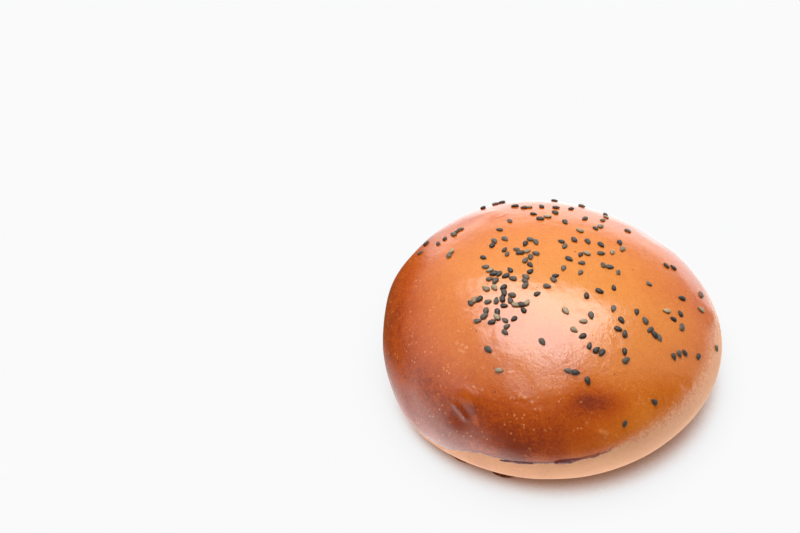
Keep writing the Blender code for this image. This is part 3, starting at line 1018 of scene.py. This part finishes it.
studio = {
    "floorSize": 6.0,
    "floorBelow": 0.0001,
    "floorColour": (0.88, 0.88, 0.88),
    "floorGlow": 0.50,
    "floorRoughness": 0.8,
    # the camera is shown a glowing floor that keeps within white, with a painted contact shadow,
    # brown at its darkest, close to whatever stands on it
    "floorPaintedShadow": ((0.28, (0.22, 0.10, 0.05)), (0.33, (0.30, 0.15, 0.10)),
                  (0.38, (0.385, 0.225, 0.165)), (0.43, (0.50, 0.335, 0.28)),
                  (0.48, (0.65, 0.53, 0.485)), (0.54, (0.79, 0.735, 0.715)),
                  (0.60, (0.865, 0.85, 0.85)), (0.68, (0.905, 0.905, 0.91)),
                  (0.85, (0.94, 0.94, 0.95)), (1.00, (0.955, 0.955, 0.965))),
    # how far off the painted shadow begins, and the way that it looks for open room, leaned to
    # paint the shadow lighter on one side
    "paintedShadowReach": 0.0185,
    "paintedShadowLean": (-0.24, 0.01, 0.971),
    "paintedShadowSamples": 16,
    "lens": 53.4,
    "sensor": 36.0,
    "nearest": 0.01,
    "cameraPlace": (-0.05623, -0.28347, 0.36934),
    "lookDown": 48.0,
    # the light all round: each glow is its brightness and its soft edges, each edge a way to
    # look and where along it the glow starts and is full
    "dimRoom": 0.02,
    "glows": (
        # the softbox overhead, and the lower lobe of its reflection
        (5.45, (((0.342, 0.94, 0.01), -0.06, 0.06), ((-0.41, -0.91, 0.71), -0.10, 0.12),
                ((-0.94, 0.342, 0.255), -0.08, 0.06), ((0.947, 0.32, 0.165), -0.065, 0.065))),
        (1.8, (((-0.05, -0.24, 1.0), 0.975, 0.996),)),
        # ceiling and walls beside and behind
        (0.50, (((0.0, 1.0, 0.25), -0.05, 0.12),)),
        (0.30, (((-0.15, 1.0, 0.4), 0.75, 0.98),)),
        (0.35, (((-1.0, 0.1, 0.7), 0.75, 0.95),)),
        (1.60, (((-0.2, 1.0, 0.0), 0.52, 0.88), ((0.0, 0.0, 1.0), 0.34, 0.05))),
        (0.20, (((1.0, 0.3, 0.0), 0.30, 0.95), ((0.0, 0.0, 1.0), 0.15, -0.05))),
        (1.30, (((-0.9, -0.45, 0.0), 0.70, 0.92), ((0.0, 0.0, 1.0), 0.45, 0.00))),
    ),
    # dim low at the left, as if a warm card stood there
    "shades": ((1.0, (((-0.777, 0.629, 0.0), 0.87, 0.92), ((0.0, 0.0, 1.0), 0.28, 0.12))),
               (0.5, (((-0.866, 0.5, 0.0), 0.80, 0.97), ((0.0, 0.0, 1.0), 0.65, 0.35)))),
    # the floor as the gloss mirrors it: brighter behind, darker before the camera
    "mirroredFloor": 1.80,
    "floorGlows": ((0.45, (((-0.20, 1.0, 0.0), 0.00, 0.14),)),
                   (0.50, (((-0.60, 0.80, 0.0), 0.16, 0.24),)),
                   (0.40, (((-0.8, -0.6, 0.0), 0.035, 0.070),))),
    "floorShades": (
        (0.25, (((0.0, 1.0, 0.0), 0.030, 0.050), ((0.0, -1.0, 0.0), -0.105, -0.075))),
        (0.20, (((0.60, 0.80, 0.0), 0.120, 0.170),)),
        (0.45, (((-1.0, 0.0, 0.0), 0.042, 0.056), ((0.0, 1.0, 0.0), -0.052, -0.034))),
        (1.0, (((0.67, -0.74, 0.0), 0.025, 0.125), ((-1.0, -1.0, 0.0), 0.030, 0.100))),
        (0.65, (((0.0, -1.0, 0.0), 0.040, 0.220), ((1.0, 0.0, 0.0), -0.020, 0.120))),
        (0.33, (((0.6, -0.8, 0.0), 0.050, 0.075),)),
        (0.42, (((0.0, -1.0, 0.0), 0.120, 0.300), ((-1.0, 0.0, 0.0), 0.000, 0.150))),
    ),
    # a warm dark patch painted on the floor at the left, with soft edges: painted shade in the
    # light the floor gives back, and a painted reflection where the gloss mirrors it
    "paintedShadeOnFloor": (((-0.91, -0.42, 0.0), 0.005, 0.030), ((0.0, 1.0, 0.0), -0.035, 0.020)),
    "paintedShadeColour": (0.34, 0.12, 0.03),
}


# a floor that looks different to the camera, to mirrored light and to scattered light
def makeFloor():
    deselectAll()
    bpy.ops.mesh.primitive_plane_add(size=studio["floorSize"], location=(0, 0, 0))
    floor = startPiece("floor")
    # a hair below the base, so that the two flat faces don't coincide
    floor.data.transform(Matrix.Translation((0, 0, -studio["floorBelow"])))
    finish = Finish("paleFloor", Roughness=studio["floorRoughness"],
                    Emission_Strength=studio["floorGlow"])
    lean = finish.node("ShaderNodeCombineXYZ", None, dict(zip("XYZ", studio["paintedShadowLean"])))
    openness = finish.node("ShaderNodeAmbientOcclusion", {"samples": studio["paintedShadowSamples"]},
                           {"Distance": studio["paintedShadowReach"], "Normal": lean}, "AO")
    # the camera sees only a glow, with the contact shadow painted in from how closed in each point
    # is
    seen = finish.node("ShaderNodeEmission", None,
                       {"Color": finish.ramp(openness, *studio["floorPaintedShadow"])})

    place = finish.place()
    bright = finish.brightness(place, studio["mirroredFloor"], studio["floorGlows"],
                               studio["floorShades"])
    grey = finish.node("ShaderNodeCombineColor", None, {"Red": bright, "Green": bright,
                                                        "Blue": bright})
    # a warm dark patch painted into the floor's colour, glow and mirrored look: painted shade and
    # painted reflection
    paintedShade = finish.within(place, studio["paintedShadeOnFloor"])
    finish.feed(Base_Color=finish.mix(paintedShade, studio["floorColour"], studio["paintedShadeColour"]),
                Emission_Color=finish.mix(paintedShade, (1.0, 1.0, 1.0), (0.0, 0.0, 0.0)))
    mirrored = finish.node("ShaderNodeEmission", None,
                           {"Color": finish.mix(paintedShade, grey, studio["paintedShadeColour"])})

    true = Wire(finish, finish.shader.outputs[0])
    byGloss = finish.node("ShaderNodeLightPath", output="Is Glossy Ray")
    byCamera = finish.node("ShaderNodeLightPath", output="Is Camera Ray")
    unseen = finish.mixShaders(byGloss, true, mirrored)
    either = finish.mixShaders(byCamera, unseen, seen)

    # seen from below the floor is clear, so that it doesn't hide the base
    below = finish.node("ShaderNodeNewGeometry", output="Backfacing")
    clear = finish.node("ShaderNodeBsdfTransparent")
    whole = finish.mixShaders(below, either, clear)
    finish.tree.links.new(whole.socket, finish.tree.nodes["Material Output"].inputs["Surface"])
    floor.data.materials.append(finish.material)


def makeWorld():
    world = bpy.data.worlds.new("studio")
    world.use_nodes = True
    walls = Nodes(world.node_tree)
    direction = walls.node("ShaderNodeTexCoord", output="Generated")
    bright = walls.brightness(direction, studio["dimRoom"], studio["glows"], studio["shades"])
    background = walls.tree.nodes["Background"]
    background.inputs["Color"].default_value = (1.0, 1.0, 1.0, 1.0)
    walls.tree.links.new(bright.socket, background.inputs["Strength"])
    bpy.context.scene.world = world


def makeCamera():
    lens = bpy.data.cameras.new("camera")
    lens.lens = studio["lens"]
    lens.sensor_width = studio["sensor"]
    lens.clip_start = studio["nearest"]
    camera = bpy.data.objects.new("camera", lens)
    bpy.context.scene.collection.objects.link(camera)
    x, y, z = studio["cameraPlace"]
    camera.location = (x - middleX, y - middleY, z)
    camera.rotation_euler = (math.radians(90 - studio["lookDown"]), 0, 0)
    bpy.context.scene.camera = camera


makeCamera()
makeWorld()
makeFloor()
bpy.context.scene.view_settings.view_transform = "Standard"
print("studio ready")

crustPiece = makeCrust()
wear(crustPiece, crustFinish())
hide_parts("bun")
print("crust ready:", len(crustPiece.data.polygons), "faces")

for name, seedPiece in makeSeeds(crustPiece).items():
    kind = seed["kinds"][name]
    wear(seedPiece, seedFinish(kind))
    print("seeds ready:", name, len(seedPiece.data.polygons), "faces")

burnt = {name: burntFinish(name, *tones) for name, tones in glaze["finishes"].items()}
makeLips(burnt)
makeFlakes(burnt)
print("baked glaze ready")
